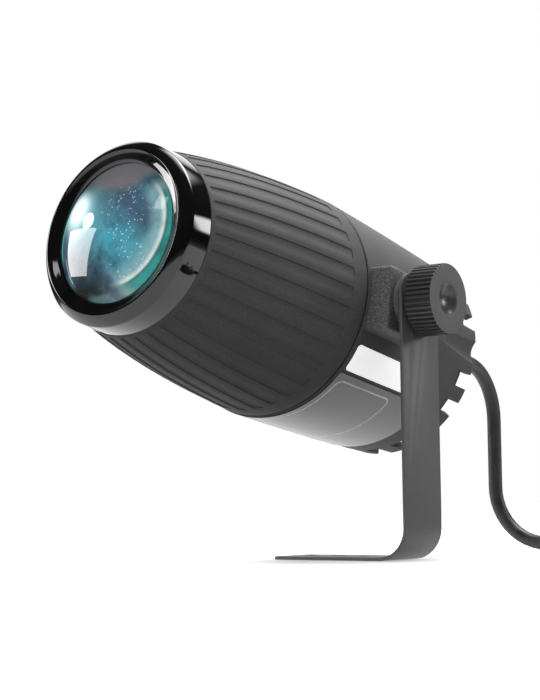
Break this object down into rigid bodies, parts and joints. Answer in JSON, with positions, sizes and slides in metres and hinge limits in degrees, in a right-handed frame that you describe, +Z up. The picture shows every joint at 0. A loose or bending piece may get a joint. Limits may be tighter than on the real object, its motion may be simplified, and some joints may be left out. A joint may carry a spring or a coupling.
{
  "type": "led pinspot light",
  "caption": "Torpedo-shaped spotlight on a one-armed sheet bracket: channelled front barrel, gloss lens ring, notched rear rim, tilt knob and mains cord.",
  "frame": {"origin": "on the underside of the bracket's base, straight below the tilt axis at the middle of the bracket's width", "axes": "+Z up, +X along the tilt axis towards the knob, -Y the way the light points at level"},
  "size_m": [0.2648, 0.2824, 0.1787],
  "materials": {
    "bracket_coat": "fine powder coat, dark grey",
    "front_coat": "dark grey satin powder coat with a fine texture",
    "rear_coat": "dark grey satin powder coat with a fine texture",
    "cover_coat": "dark grey satin powder coat",
    "ring_black": "high gloss black",
    "lens_glass": "polished, blue-green coating",
    "knob_plastic": "matt moulded",
    "black_rubber": "matt",
    "black_plastic": "matt moulded",
    "bare_steel": "zinc plated",
    "turned_brass": "turned",
    "bare_aluminium": "satin",
    "board_green": "solder resist",
    "board_white": "white solder resist",
    "emitter_yellow": "phosphor",
    "clear_plastic": "polished",
    "label_film": "glossy dark film",
    "sticker_white": "satin paper",
    "winding_tape": "satin",
    "cord_black": "satin extruded sheath",
    "wire_brown": "satin",
    "wire_blue": "satin",
    "wire_green": "satin",
    "wire_red": "satin",
    "can_blue": "shrink sleeve"
  },
  "bodies": {
    "bracket": {"mounting_bracket": "bracket_coat", "cord_lead": "cord_black", "cord_coil": "cord_black", "cord_tie": "black_plastic", "plug_body": "black_plastic", "plug_pin_line": "bare_steel", "plug_pin_neutral": "bare_steel", "plug_earth_1": "bare_steel", "plug_earth_2": "bare_steel"},
    "head": {"front_housing": "front_coat", "rear_housing": "rear_coat", "heat_sink": "bare_aluminium", "led_board": "board_white", "led_emitter": "emitter_yellow", "collimator": "clear_plastic", "collimator_holder": "black_plastic", "led_board_screw_1": "bare_steel", "led_board_screw_2": "bare_steel", "housing_screw_1": "bare_steel", "housing_screw_2": "bare_steel", "housing_screw_3": "bare_steel", "rear_cover": "cover_coat", "cover_screw_1": "bare_steel", "cover_screw_2": "bare_steel", "cover_screw_3": "bare_steel", "strain_relief": "black_rubber", "relief_nut": "black_plastic", "cord_tail": "cord_black", "driver_tray": "black_plastic", "tray_screw_1": "bare_steel", "tray_screw_2": "bare_steel", "driver_board": "board_green", "driver_board_screw_1": "bare_steel", "driver_board_screw_2": "bare_steel", "transformer": "winding_tape", "input_capacitor": "black_plastic", "output_capacitor": "can_blue", "choke": "winding_tape", "terminal_block": "wire_green", "transistor": "black_plastic", "wire_live": "wire_brown", "wire_neutral": "wire_blue", "wire_earth": "wire_green", "wire_led_plus": "wire_red", "wire_led_minus": "black_plastic", "pivot_insert": "turned_brass", "tilt_washer": "black_rubber", "rating_label": "label_film", "serial_sticker": "sticker_white"},
    "lens_ring": {"lens_ring": "ring_black", "front_lens": "lens_glass", "lens_gasket": "black_rubber", "lens_retainer": "bare_steel"},
    "knob_carrier": {"knob_washer": "bare_steel"},
    "knob": {"tilt_knob": "knob_plastic", "knob_stud": "bare_steel"}
  },
  "joints": [
    {"name": "tilt", "type": "hinge", "parent": "bracket", "child": "head", "pos_m": [0, 0, 0.1154], "axis": [1, 0, 0], "range_deg": [-44, 45], "deforming": ["cord_lead"]},
    {"name": "knob_travel", "type": "slide", "parent": "head", "child": "knob_carrier", "axis": [1, 0, 0], "range_m": [0, 0.0025]},
    {"name": "knob_turn", "type": "hinge", "parent": "knob_carrier", "child": "knob", "pos_m": [0.078, 0, 0.1154], "axis": [1, 0, 0], "range_deg": [0, 720]},
    {"name": "lens_ring_pull", "type": "slide", "parent": "head", "child": "lens_ring", "axis": [0, -0.9823, 0.1874], "range_m": [0, 0.01]}
  ],
  "couplings": [
    {"joint": "knob_turn", "follows": "knob_travel", "rad_per_m": 5026.5}
  ]
}
